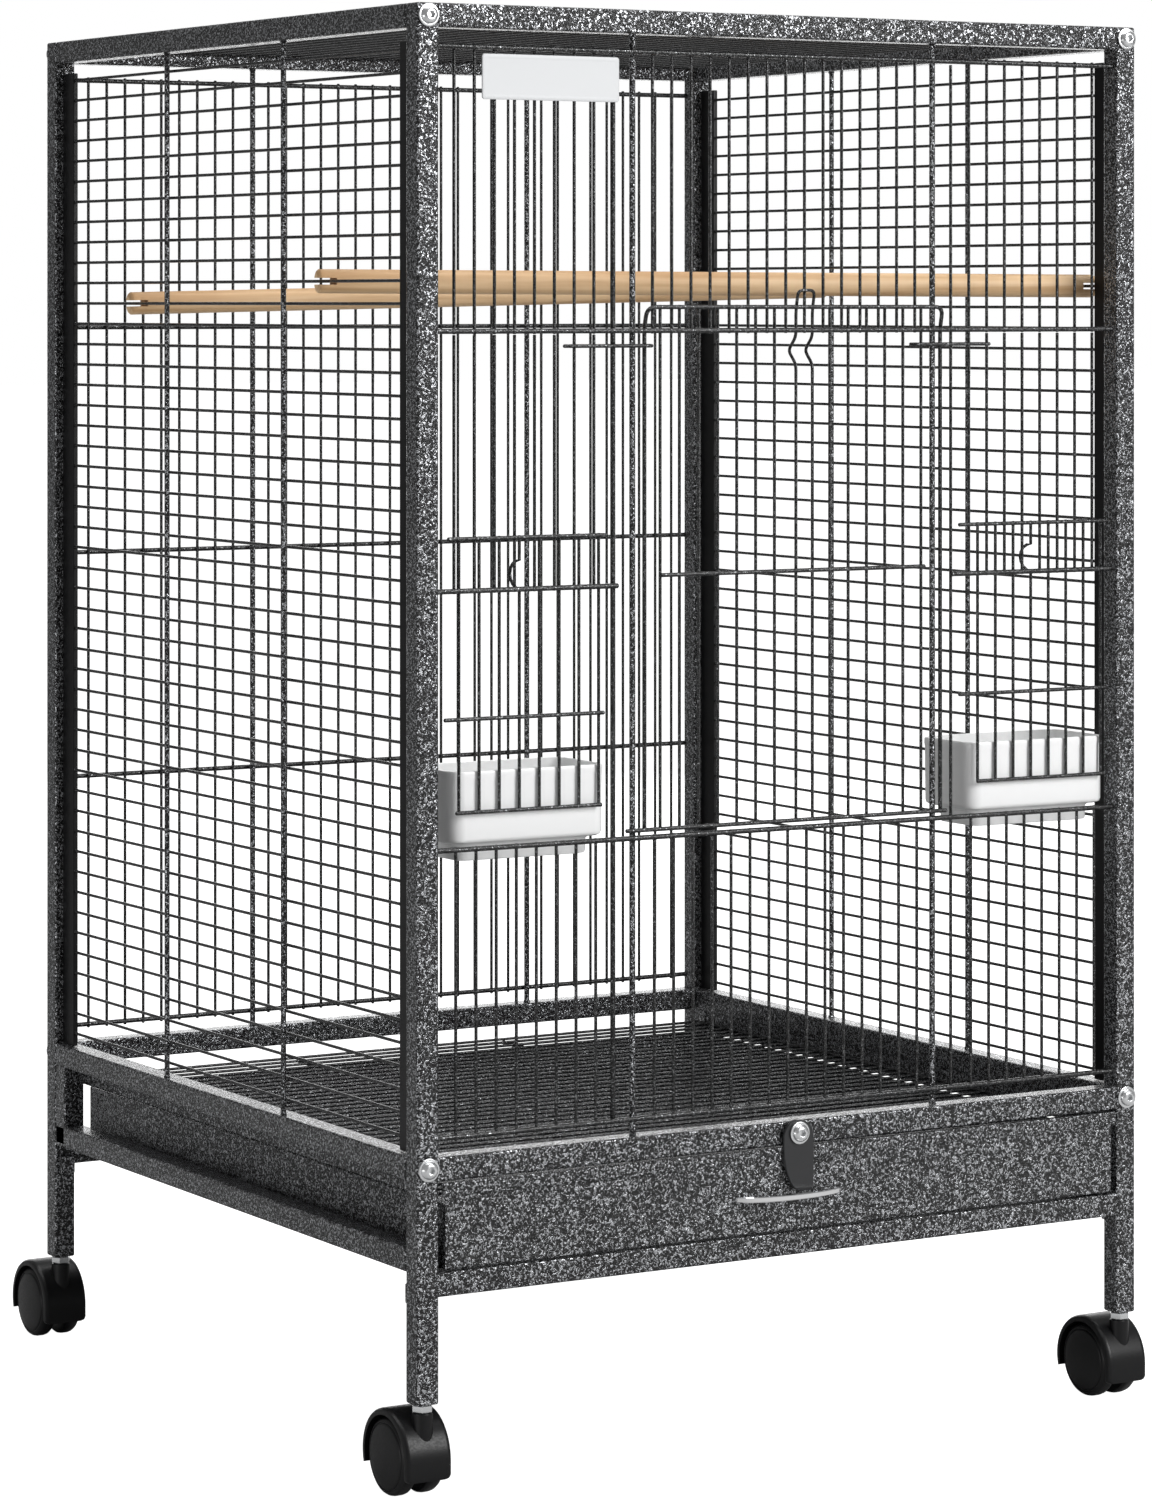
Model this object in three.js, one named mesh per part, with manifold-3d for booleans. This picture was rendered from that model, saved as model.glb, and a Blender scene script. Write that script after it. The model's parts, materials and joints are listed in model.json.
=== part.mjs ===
// A square wire bird cage whose four tube posts run down to casters.
// Millimetres, +Z up, the front faces -Y. The origin is on the floor, at the centre of the outline.
import * as THREE from "three";
import { mergeVertices } from "three/addons/utils/BufferGeometryUtils.js";
import Module from "manifold-3d";

const wasm = await Module();
wasm.setup();

// ---- Driving dimensions ----

const SIDE = 460; // width and depth over the posts
const HEIGHT = 772; // floor to the top face
const TUBE = 12.7; // square tube of posts and rails
const GAP = 0.3; // clearance between neighbouring pieces
const HALF = SIDE / 2;
const POST = HALF - TUBE / 2; // distance of a post's centre line from the middle planes
const INSIDE = HALF - TUBE; // distance of a post's inner face
const POST_FOOT = 49.7; // height of a post's lower end
const MID_RAIL = 164.3; // undersides of the middle and lower rails
const LOW_RAIL = 104.8;
const SIDE_LOW_RAIL = 117; // the side frames' lower rails sit higher, level with the tray's runners
const TOP_RAIL = HEIGHT - TUBE;

const PITCH = 12.05; // spacing of the front and back wires
const LAST_WIRE = 17; // wires run from -LAST_WIRE to LAST_WIRE, counted from the middle
const STAY = 8; // position of the two stays, counted in wires
const DIVIDER = 9; // position of the two divider rods
const WIRE = 1.6;
const ROD = 2.8;
const DOOR_ROD = 2.4;

// Depths below the outer face of a panel: the rods lie outside, the wires behind them.
const ROD_DEPTH = [2.8, 5.6];
const WIRE_DEPTH = [5.8, 7.4];
const INLINE_DEPTH = [3.9, 5.5]; // wires let into the end rods, where nothing slides past
const OUTER_DEPTH = [1, 3.6]; // rods that cross those wires on the outside
const DOOR_ROD_DEPTH = [2.8, 5.5];
const DOOR_WIRE_DEPTH = [5.9, 7.5];
const STAY_DEPTH = [5.9, 8.7];
const NUB = 1.2; // width of the weld between a rod and a wire
const WELD_EVERY = 6; // a rod that only stiffens a panel is welded to one wire in this many

// Heights of the front and back rods.
const ROD_1 = 750;
const ROD_2 = 602.5;
const FEEDER_ROD = 468;
const ROD_3 = 334.2;
const ROD_4 = 185.8;

const SIDE_WIRES = 48;
const SIDE_PITCH = 12;
const SIDE_WIRE_DEPTH = [5.4, 7];
const LEFT_TOP_WIRE = 748.8;
const RIGHT_TOP_WIRE = 746.7;
const STRIP_WIDTH = 15;
const SIDE_STAY = 72.4; // distance of a side stay from the middle

const CASTER = { trail: 17, axle: 20.3, wheel: 20.3, hood: 25, halfHood: 13.3, face: 14, inner: 3.5 };
const HANDLE = { centre: -3, halfWidth: 34, reach: 11.4, band: 3, low: 136.7, high: 139.7 };
const REAR_REACH = POST + CASTER.trail + CASTER.hood;
const FRONT_REACH = HALF + GAP + HANDLE.reach;

// ---- Finishes ----

const HAMMERTONE = { color: 0x47484b, roughness: 0.38, metalness: 0.55 };
const BLACK_WIRE = { color: 0x1c1d1f, roughness: 0.45, metalness: 0.4 };
const SMOOTH_BLACK = { color: 0x2b2c2e, roughness: 0.5, metalness: 0.4 };
const ZINC = { color: 0xc9ccd0, roughness: 0.3, metalness: 0.9 };
const CHROME = { color: 0xe6e8ea, roughness: 0.08, metalness: 1 };
const CUP_WHITE = { color: 0xf1f2f2, roughness: 0.25, metalness: 0 };
const CASTER_BLACK = { color: 0x1a1a1b, roughness: 0.55, metalness: 0 };
const PALE_WOOD = { color: 0xd9b27c, roughness: 0.65, metalness: 0 };
const PLATE_SILVER = { color: 0xd8dadc, roughness: 0.35, metalness: 0.7 };

// ---- Solids ----

// A closed three.js geometry as a manifold solid, without the zero-area triangles at a lathe's poles.
function toSolid(geometry) {
  const bare = geometry.clone();
  bare.deleteAttribute("normal");
  bare.deleteAttribute("uv");
  const merged = mergeVertices(bare, 1e-4);
  const corners = merged.index.array;
  const kept = [];
  for (let i = 0; i < corners.length; i += 3) {
    const [a, b, c] = corners.slice(i, i + 3);
    if (a !== b && b !== c && c !== a) kept.push(a, b, c);
  }
  return new wasm.Manifold(
    new wasm.Mesh({
      numProp: 3,
      vertProperties: merged.attributes.position.array,
      triVerts: new Uint32Array(kept),
    }),
  );
}

function toGeometry(solid) {
  const mesh = solid.getMesh();
  const geometry = new THREE.BufferGeometry();
  geometry.setAttribute("position", new THREE.BufferAttribute(mesh.vertProperties, 3));
  geometry.setIndex(new THREE.BufferAttribute(mesh.triVerts, 1));
  geometry.computeVertexNormals();
  return geometry;
}

function join(solids) {
  return solids.reduce((whole, next) => whole.add(next));
}

// A block between two limits on each axis.
function block([x0, x1], [y0, y1], [z0, z1]) {
  const box = new THREE.BoxGeometry(x1 - x0, y1 - y0, z1 - z0);
  box.translate((x0 + x1) / 2, (y0 + y1) / 2, (z0 + z1) / 2);
  return toSolid(box);
}

function around(middle, width) {
  return [middle - width / 2, middle + width / 2];
}

// A flat outline drawn in X and Z, given thickness along Y between two limits.
function plateXZ(shape, [y0, y1], curveSegments = 6) {
  const geometry = new THREE.ExtrudeGeometry(shape, { depth: y1 - y0, bevelEnabled: false, curveSegments });
  geometry.rotateX(Math.PI / 2);
  geometry.translate(0, y1, 0);
  return toSolid(geometry);
}

// A flat outline drawn in Y and Z, given thickness along X between two limits.
function plateYZ(shape, [x0, x1], curveSegments = 6) {
  const geometry = new THREE.ExtrudeGeometry(shape, { depth: x1 - x0, bevelEnabled: false, curveSegments });
  const axes = [new THREE.Vector3(0, 1, 0), new THREE.Vector3(0, 0, 1), new THREE.Vector3(1, 0, 0)];
  geometry.applyMatrix4(new THREE.Matrix4().makeBasis(...axes));
  geometry.translate(x0, 0, 0);
  return toSolid(geometry);
}

// A flat outline drawn in X and Y, given thickness along Z between two limits.
function plateXY(shape, [z0, z1], curveSegments = 6) {
  const geometry = new THREE.ExtrudeGeometry(shape, { depth: z1 - z0, bevelEnabled: false, curveSegments });
  geometry.translate(0, 0, z0);
  return toSolid(geometry);
}

// A profile of [radius, height] points turned about +Z.
function turned(profile, sides, startAngle = 0) {
  const points = profile.map(([r, h]) => new THREE.Vector2(r, h));
  const geometry = new THREE.LatheGeometry(points, sides, startAngle);
  geometry.rotateX(Math.PI / 2);
  return toSolid(geometry);
}

// A round bar about Z.
function disc(radius, [z0, z1], sides, startAngle = 0) {
  const profile = [
    [0, z0],
    [radius, z0],
    [radius, z1],
    [0, z1],
  ];
  return turned(profile, sides, startAngle);
}

function add(group, name, solid, finish, place = {}) {
  const mesh = new THREE.Mesh(toGeometry(solid), new THREE.MeshStandardMaterial(finish));
  mesh.name = name;
  mesh.position.set(...(place.at ?? [0, 0, 0]));
  mesh.rotation.set(...(place.turn ?? [0, 0, 0]));
  group.add(mesh);
  return mesh;
}

// ---- Welded panels, drawn face on: X across, Z up, Y the depth below the outer face ----

function rodX([x0, x1], z, depth, size = ROD) {
  return block([x0, x1], depth, around(z, size));
}

function wireZ(x, [z0, z1], depth, size = WIRE) {
  return block(around(x, size), depth, [z0, z1]);
}

// The weld that joins a rod to a wire lying behind it.
function nub(x, z, rodDepth, wireDepth) {
  return block(around(x, NUB), [rodDepth[1] - 0.2, wireDepth[0] + 0.2], around(z, NUB));
}

function wireColumns(from, to) {
  const columns = [];
  for (let k = from; k <= to; k++) {
    if (Math.abs(k) !== STAY && Math.abs(k) !== DIVIDER) columns.push(k * PITCH);
  }
  return columns;
}

// ---- Frame ----

function tubeZ(x, y, range) {
  return block(around(x, TUBE), around(y, TUBE), range);
}

const RAILS = [LOW_RAIL, MID_RAIL, TOP_RAIL];

// Two posts and three rails, with two stays behind the panel and a small tab on the inner face of each post.
function endFrame(facing) {
  const outer = facing * HALF;
  const inward = (depth) => outer - facing * depth;
  const range = (from, to) => [Math.min(inward(from), inward(to)), Math.max(inward(from), inward(to))];
  const solids = [];
  for (const side of [-1, 1]) {
    solids.push(tubeZ(side * POST, facing * POST, [POST_FOOT, HEIGHT]));
    solids.push(block(around(side * POST, 9), range(TUBE - 1, TUBE + 4.5), [100, 110.5]));
    const stay = around(side * STAY * PITCH, 3.3);
    solids.push(block(stay, range(...STAY_DEPTH), [MID_RAIL + TUBE - 1, TOP_RAIL + 1]));
  }
  for (const z of RAILS) solids.push(block([-INSIDE - 1, INSIDE + 1], range(0, TUBE), [z, z + TUBE]));
  return join(solids);
}

// Three rails between the posts, stays, a rear upright, and the two runner flanges.
function sideFrame(side) {
  const range = (from, to) => {
    const ends = [side * (HALF - from), side * (HALF - to)];
    return [Math.min(...ends), Math.max(...ends)];
  };
  const length = [-INSIDE + GAP, INSIDE - GAP];
  const rails = [SIDE_LOW_RAIL, MID_RAIL, TOP_RAIL];
  const solids = rails.map((z) => block(range(0, TUBE), length, [z, z + TUBE]));
  for (const y of [-SIDE_STAY, SIDE_STAY]) {
    solids.push(block(range(2, 5), around(y, 3), [MID_RAIL + TUBE - 1, TOP_RAIL + 1]));
  }
  solids.push(block(range(0, TUBE), [INSIDE - GAP - TUBE, INSIDE - GAP], [SIDE_LOW_RAIL + 1, MID_RAIL + 1]));
  solids.push(block(range(TUBE - 1, TUBE + 12), [-INSIDE + GAP, 210], [115.7, 117.3]));
  solids.push(block(range(10.5, 12), [-INSIDE + GAP, INSIDE - GAP - TUBE - GAP], [154.6, MID_RAIL + 1]));
  solids.push(block(range(10.5, 23), [-INSIDE + GAP, INSIDE - GAP - TUBE - GAP], [154.6, 156]));
  return join(solids);
}

// ---- Panels ----

const PANEL_EDGE = INSIDE - GAP;

// Level wires let into an upright strip beside each post.
function sidePanel(topWire) {
  const solids = [];
  for (const side of [-1, 1]) {
    const ends = [side * PANEL_EDGE, side * (PANEL_EDGE - STRIP_WIDTH)];
    const strip = [Math.min(...ends), Math.max(...ends)];
    solids.push(block(strip, [4.7, 7.7], [MID_RAIL + TUBE + GAP, 753]));
  }
  const span = [-PANEL_EDGE + STRIP_WIDTH / 2, PANEL_EDGE - STRIP_WIDTH / 2];
  for (let k = 0; k < SIDE_WIRES; k++) {
    solids.push(rodX(span, topWire - k * SIDE_PITCH, SIDE_WIRE_DEPTH, WIRE));
  }
  return join(solids);
}

// Wires let into a rod at each end, and crossed on the outside by the other rods.
function fixedPanel(endRods, crossRods, skipped = []) {
  const solids = endRods.map((z) => rodX([-PANEL_EDGE, PANEL_EDGE], z, ROD_DEPTH));
  solids.push(...crossRods.map((z) => rodX([-PANEL_EDGE, PANEL_EDGE], z, OUTER_DEPTH)));
  for (let k = -LAST_WIRE; k <= LAST_WIRE; k++) {
    if (skipped.includes(k)) continue;
    solids.push(wireZ(k * PITCH, endRods, INLINE_DEPTH));
    if (k % WELD_EVERY !== 0) continue;
    for (const z of crossRods) solids.push(nub(k * PITCH, z, OUTER_DEPTH, INLINE_DEPTH));
  }
  return join(solids);
}

function backPanel() {
  return fixedPanel([ROD_4, ROD_1], [ROD_2, FEEDER_ROD, ROD_3], [-STAY, STAY]);
}

function roofPanel() {
  const reach = PANEL_EDGE - 2;
  return fixedPanel([-reach, reach], [-reach / 3, reach / 3]);
}

function frontUpperGrille() {
  const solids = [ROD_1, ROD_2].map((z) => rodX([-PANEL_EDGE, PANEL_EDGE], z, ROD_DEPTH));
  wireColumns(-LAST_WIRE, LAST_WIRE).forEach((x, i) => {
    solids.push(wireZ(x, [ROD_2 - ROD / 2, ROD_1 + ROD / 2], WIRE_DEPTH));
    solids.push(nub(x, ROD_2, ROD_DEPTH, WIRE_DEPTH));
    if (i % WELD_EVERY === 0) solids.push(nub(x, ROD_1, ROD_DEPTH, WIRE_DEPTH));
  });
  return join(solids);
}

function frontLowerGrille() {
  const solids = [ROD_3, ROD_4].map((z) => rodX([-PANEL_EDGE, PANEL_EDGE], z, ROD_DEPTH));
  for (const x of wireColumns(-LAST_WIRE, LAST_WIRE)) solids.push(wireZ(x, [ROD_4, ROD_3], INLINE_DEPTH));
  return join(solids);
}

// The wires over a feeder opening, from the second rod down to the rod over the opening.
function frontColumn(side) {
  const columns = wireColumns(DIVIDER + 1, LAST_WIRE).map((x) => side * x);
  const ends = [side * PANEL_EDGE, side * (DIVIDER * PITCH - 1.4)];
  const solids = [rodX([Math.min(...ends), Math.max(...ends)], FEEDER_ROD, ROD_DEPTH)];
  for (const x of columns) {
    solids.push(wireZ(x, [FEEDER_ROD - ROD / 2, ROD_2 - ROD / 2 - GAP], WIRE_DEPTH));
    solids.push(nub(x, FEEDER_ROD, ROD_DEPTH, WIRE_DEPTH));
  }
  return join(solids);
}

function dividerRod(side, thickness) {
  const depth = [WIRE_DEPTH[0] + 0.1, WIRE_DEPTH[0] + 0.1 + thickness];
  return wireZ(side * DIVIDER * PITCH, [ROD_4 - ROD / 2, ROD_1 - ROD / 2 - GAP], depth, thickness);
}

// ---- Doors ----

const MAIN_DOOR = {
  top: 615,
  middle: 472.8,
  bottom: 338.2,
  leftSide: -89.1,
  rightSide: 101.5,
  latch: [6.6, 17.2],
  latchTop: 624,
};

function mainDoorWires() {
  const wires = [];
  for (let k = 0; k < 7; k++) wires.push(-79.5 + k * PITCH);
  for (let k = 0; k < 6; k++) wires.push(28.5 + k * 12);
  return wires;
}

function mainDoor() {
  const door = MAIN_DOOR;
  const sides = [door.leftSide, door.rightSide];
  const solids = [
    rodX([door.leftSide - 1.2, door.rightSide + 1.2], door.top, DOOR_ROD_DEPTH, DOOR_ROD),
    rodX([-80.4, 89.4], door.middle, DOOR_ROD_DEPTH, DOOR_ROD),
    rodX([-102.2, 103.9], door.bottom, DOOR_ROD_DEPTH, DOOR_ROD),
  ];
  const weld = (x, z) => solids.push(nub(x, z, DOOR_ROD_DEPTH, DOOR_WIRE_DEPTH));
  for (const x of sides) {
    solids.push(wireZ(x, [door.bottom - 1.2, door.top + 1.2], DOOR_WIRE_DEPTH, 2.2));
    weld(x, door.top);
    weld(x, door.bottom);
  }
  mainDoorWires().forEach((x, i) => {
    solids.push(wireZ(x, [door.bottom - 1.2, door.top + 1.2], DOOR_WIRE_DEPTH));
    weld(x, door.top);
    weld(x, door.bottom);
    if (i % WELD_EVERY === 0) weld(x, door.middle);
  });
  for (const x of door.latch) {
    solids.push(wireZ(x, [door.bottom - 1.2, door.latchTop + 1], DOOR_WIRE_DEPTH));
    for (const z of [door.latchTop, door.top, door.middle, door.bottom]) weld(x, z);
  }
  solids.push(rodX([door.latch[0] - 0.8, door.latch[1] + 0.8], door.latchTop, [3.5, DOOR_ROD_DEPTH[1]], 2));
  return join(solids);
}

const FEEDER_DOOR = { top: 495, middle: 401.5, bottom: 353 };

// Eight wires with a wide top rod, a middle rod and a short bottom rod, which lies in line with the wires.
function feederDoor(firstWire, top, middle, bottom) {
  const solids = [
    rodX(top, FEEDER_DOOR.top, DOOR_ROD_DEPTH, 2.2),
    rodX(middle, FEEDER_DOOR.middle, DOOR_ROD_DEPTH, 2.2),
    rodX(bottom, FEEDER_DOOR.bottom, [DOOR_ROD_DEPTH[0], DOOR_WIRE_DEPTH[1] + 0.1], 2.2),
  ];
  for (let k = 0; k < 8; k++) {
    const x = firstWire + k * PITCH;
    solids.push(wireZ(x, [FEEDER_DOOR.bottom, FEEDER_DOOR.top + 1.1], DOOR_WIRE_DEPTH));
    for (const z of [FEEDER_DOOR.top, FEEDER_DOOR.middle]) {
      solids.push(nub(x, z, DOOR_ROD_DEPTH, DOOR_WIRE_DEPTH));
    }
  }
  return join(solids);
}

// A hairpin of wire laid level around a side rod of the main door, closed at its inner end.
function doorGuide(closedEnd, openEnd) {
  const away = Math.sign(openEnd - closedEnd);
  const legs = [Math.min(closedEnd, openEnd), Math.max(closedEnd, openEnd)];
  const bend = [closedEnd, closedEnd + away * 2];
  const z = around(594.5, 2.4);
  return join([
    block(legs, [2.8, 5.4], z),
    block(legs, [9.2, 11.2], z),
    block([Math.min(...bend), Math.max(...bend)], [2.8, 11.2], z),
  ]);
}

// ---- Fittings ----

function roundedRectangle([x0, x1], [y0, y1], radius) {
  const shape = new THREE.Shape();
  shape.moveTo(x0 + radius, y0);
  shape.lineTo(x1 - radius, y0);
  shape.absarc(x1 - radius, y0 + radius, radius, -Math.PI / 2, 0, false);
  shape.lineTo(x1, y1 - radius);
  shape.absarc(x1 - radius, y1 - radius, radius, 0, Math.PI / 2, false);
  shape.lineTo(x0 + radius, y1);
  shape.absarc(x0 + radius, y1 - radius, radius, Math.PI / 2, Math.PI, false);
  shape.lineTo(x0, y0 + radius);
  shape.absarc(x0 + radius, y0 + radius, radius, Math.PI, 1.5 * Math.PI, false);
  return shape;
}

const CUP = { width: 94, front: 8, depth: 50, top: 374, step: 336.2, base: 326.5, inset: 7, wall: 1.8 };

// A feeding cup: an open box with a smaller base that hangs behind the rod it stands over.
function feedingCup(left) {
  const { width, front, depth, wall } = CUP;
  const outline = (margin, radius) => {
    const across = [left + margin, left + width - margin];
    const along = [-HALF + front + margin, -HALF + front + depth - margin];
    return roundedRectangle(across, along, radius);
  };
  const shell = join([
    plateXY(outline(0, 8), [CUP.step, CUP.top], 3),
    plateXY(outline(CUP.inset, 7), [CUP.base, CUP.step + 1], 3),
  ]);
  const hollow = join([
    plateXY(outline(wall, 6.2), [CUP.step + wall, CUP.top + 1], 3),
    plateXY(outline(CUP.inset + wall, 5.2), [CUP.base + wall, CUP.step + wall + 1], 3),
  ]);
  return shell.subtract(hollow);
}

// A perch between two side wires, each given as [distance behind the front face, height].
function perchPlacement([leftDepth, leftHeight], [rightDepth, rightHeight]) {
  const reach = HALF - 3.2;
  const from = new THREE.Vector3(-reach, leftDepth - HALF, leftHeight);
  const to = new THREE.Vector3(reach, rightDepth - HALF, rightHeight);
  const along = to.clone().sub(from);
  const length = along.length();
  const yaw = Math.atan2(along.y, along.x);
  const tilt = -Math.asin(along.z / length);
  const middle = from.add(to).multiplyScalar(0.5);
  return { length, place: { at: middle.toArray(), turn: [0, tilt, yaw, "ZYX"] } };
}

// A round bar along X with a level saw cut in each end.
function perch(length) {
  const bar = disc(6.5, [-length / 2, length / 2], 14);
  const level = bar.rotate([0, 90, 0]);
  const cut = (side) => {
    const ends = [side * (length / 2 + 1), side * (length / 2 - 9)];
    return block([Math.min(...ends), Math.max(...ends)], [-7, 7], around(0, 3.6));
  };
  return level.subtract(cut(-1)).subtract(cut(1));
}

const TRAY = { half: 213.5, low: 118, wallTop: 152, lipLow: 156.5, top: 163.6, back: 207, sheet: 1.2 };

function tray() {
  const { half, low, wallTop, lipLow, top, back, sheet } = TRAY;
  const wall = half - 0.5;
  const start = -HALF + sheet / 2;
  const pan = block([-wall, wall], [start, back], [low + 0.1, wallTop]);
  const hollow = block([sheet - wall, wall - sheet], [start - 1, back - sheet], [low + 0.1 + sheet, wallTop + 1]);
  const panel = block([-half, half], [-HALF, -HALF + sheet], [low, top - 0.1]);
  const lip = block([-half - 2, half + 2], [-HALF - 1.7, -HALF + sheet / 2], [lipLow, top]);
  return pan.subtract(hollow).add(panel).add(lip);
}

// A level band bent into a shallow bow.
function trayHandle() {
  const { centre, halfWidth, reach, band } = HANDLE;
  const shape = new THREE.Shape();
  shape.absellipse(centre, 0, halfWidth, reach, Math.PI, 2 * Math.PI, false);
  shape.lineTo(centre + halfWidth - band, 0);
  shape.absellipse(centre, 0, halfWidth - band, reach - band, 2 * Math.PI, Math.PI, true);
  return plateXY(shape, [HANDLE.low, HANDLE.high], 12);
}

const LATCH = { x: 2, pivot: 171, halfWidth: 9.5, tip: 139.6, hub: 6.9 };

// A flat tongue with one swept side, on a round hub that holds it off the middle rail and the tray's lip.
function trayLatch() {
  const { halfWidth, pivot, tip, hub } = LATCH;
  const tongue = new THREE.Shape();
  tongue.moveTo(halfWidth, pivot - 3);
  tongue.absellipse(0, pivot - 3, halfWidth, 9, 0, Math.PI, false);
  tongue.lineTo(-halfWidth, tip + 24);
  tongue.absellipse(1.5, tip + 24, halfWidth + 1.5, 24, Math.PI, 1.5 * Math.PI, false);
  tongue.absellipse(halfWidth - 2, tip + 3, 2, 3, 1.5 * Math.PI, 2 * Math.PI, false);
  const spacer = disc(hub, [0.3, 2.5], 16).rotate([90, 0, 0]).translate([0, 0, pivot]);
  return plateXZ(tongue, [-3.5, -2]).add(spacer);
}

// A domed screw head on a washer, standing on its washer and pointing up +Z.
function bolt() {
  const profile = [
    [0, 0],
    [6, 0],
    [6, 1],
    [4.9, 1],
    [3.6, 3.3],
    [0, 3.6],
  ];
  return turned(profile, 10);
}

const GRATE = { front: 16, pitch: 11.75, wires: 37, half: 215.5 };

// Wires across, let into a rod at each end and laid on two rods between, which run from front to back.
function floorGrate() {
  const { front, pitch, wires, half } = GRATE;
  const first = -HALF + front;
  const length = [first - 1, first + (wires - 1) * pitch + 1];
  const solids = [];
  for (const x of [-half + 1.1, half - 1.1]) solids.push(block(around(x, 2.2), length, [156.3, 158.3]));
  const between = [-half / 3, half / 3];
  for (const x of between) solids.push(block(around(x, 2.2), length, [153.9, 156.2]));
  for (let k = 0; k < wires; k++) {
    const y = around(first + k * pitch, WIRE);
    solids.push(block([-half + 1, half - 1], y, [156.5, 158.1]));
    if (k % WELD_EVERY !== 0) continue;
    for (const x of between) solids.push(block(around(x, NUB), y, [156, 156.7]));
  }
  return join(solids);
}

// ---- Casters, drawn about the stem's axis, with the axle behind it ----

function casterHood() {
  const { trail, axle, hood, halfHood, inner } = CASTER;
  const skin = 3.5;
  const cover = new THREE.Shape();
  cover.moveTo(trail + hood, axle);
  cover.absarc(trail, axle, hood, 0, Math.PI, false);
  cover.lineTo(trail - hood, 11);
  cover.lineTo(trail - hood + skin, 11);
  cover.lineTo(trail - hood + skin, axle);
  cover.absarc(trail, axle, hood - skin, Math.PI, 0, true);
  const web = new THREE.Shape();
  web.moveTo(trail + hood - 2, axle);
  web.absarc(trail, axle, hood - 2, 0, Math.PI, false);
  web.lineTo(trail - hood + 2, 12);
  web.lineTo(trail + 10, 12);
  const boss = disc(5.5, [37.2, 45.3], 12);
  const body = join([
    plateYZ(cover, [-halfHood, halfHood], 10),
    plateYZ(web, [-inner + GAP, inner - GAP], 10),
    boss,
  ]);
  const stemHole = disc(3.8, [38.5, 46], 10);
  const axleHole = disc(2.8, [-5, 5], 10).rotate([0, 90, 0]).translate([0, trail, axle]);
  return body.subtract(stemHole).subtract(axleHole);
}

function casterStem() {
  const collar = disc(5.77, [45.6, 49.4], 6);
  return collar.add(disc(3.5, [38.8, 46], 10));
}

function casterAxle() {
  return disc(2.5, [-12.4, 12.4], 10);
}

const WHEEL_SIDES = 16;

// A wheel with a flat under its axle, turned about Z, with its closed face up.
function casterWheel() {
  const { wheel, face, inner } = CASTER;
  const rim = wheel / Math.cos(Math.PI / WHEEL_SIDES);
  const profile = [
    [0, 12.8],
    [2.8, 12.8],
    [2.8, inner],
    [rim, inner],
    [rim, face - 2],
    [rim - 4.5, face - 0.6],
    [0, face],
  ];
  return turned(profile, WHEEL_SIDES, Math.PI / WHEEL_SIDES);
}

function addCaster(parent, name, x, y) {
  const { trail, axle } = CASTER;
  const caster = new THREE.Group();
  caster.position.set(x, y, 0);
  parent.add(caster);
  add(caster, `${name}_stem`, casterStem(), ZINC);
  add(caster, `${name}_hood`, casterHood(), CASTER_BLACK);
  const across = { at: [0, trail, axle], turn: [0, Math.PI / 2, 0] };
  add(caster, `${name}_axle`, casterAxle(), ZINC, across);
  add(caster, `${name}_right_wheel`, casterWheel(), CASTER_BLACK, across);
  add(caster, `${name}_left_wheel`, casterWheel(), CASTER_BLACK, {
    at: across.at,
    turn: [0, -Math.PI / 2, 0],
  });
}

// ---- Assembly ----

const root = new THREE.Group();
const cage = new THREE.Group();
cage.position.y = (FRONT_REACH - REAR_REACH) / 2;
root.add(cage);

const FRONT = { at: [0, -HALF, 0], turn: [0, 0, 0] };
const BACK = { at: [0, HALF, 0], turn: [0, 0, Math.PI] };
const LEFT = { at: [-HALF, 0, 0], turn: [0, 0, -Math.PI / 2] };
const RIGHT = { at: [HALF, 0, 0], turn: [0, 0, Math.PI / 2] };
const ROOF = { at: [0, 0, HEIGHT], turn: [-Math.PI / 2, 0, 0] };

function addFrame() {
  add(cage, "front_frame", endFrame(-1), HAMMERTONE);
  add(cage, "rear_frame", endFrame(1), HAMMERTONE);
  add(cage, "left_side_frame", sideFrame(-1), HAMMERTONE);
  add(cage, "right_side_frame", sideFrame(1), HAMMERTONE);
  for (const [end, y, tilt] of [["front", -HALF - GAP, Math.PI / 2], ["rear", HALF + GAP, -Math.PI / 2]]) {
    for (const [side, x] of [["left", -POST], ["right", POST]]) {
      for (const [level, z] of [["upper", TOP_RAIL + 6.2], ["lower", MID_RAIL + 6.7]]) {
        add(cage, `${end}_${side}_${level}_bolt`, bolt(), ZINC, { at: [x, y, z], turn: [tilt, 0, 0] });
      }
    }
  }
}

function addPanels() {
  add(cage, "left_panel", sidePanel(LEFT_TOP_WIRE), BLACK_WIRE, LEFT);
  add(cage, "right_panel", sidePanel(RIGHT_TOP_WIRE), BLACK_WIRE, RIGHT);
  add(cage, "back_panel", backPanel(), BLACK_WIRE, BACK);
  add(cage, "roof_panel", roofPanel(), BLACK_WIRE, ROOF);
  add(cage, "front_upper_grille", frontUpperGrille(), BLACK_WIRE, FRONT);
  add(cage, "front_lower_grille", frontLowerGrille(), BLACK_WIRE, FRONT);
  add(cage, "front_left_column", frontColumn(-1), BLACK_WIRE, FRONT);
  add(cage, "front_right_column", frontColumn(1), BLACK_WIRE, FRONT);
  add(cage, "left_divider_rod", dividerRod(-1, 2.8), BLACK_WIRE, FRONT);
  add(cage, "right_divider_rod", dividerRod(1, 1.8), BLACK_WIRE, FRONT);
}

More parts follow.
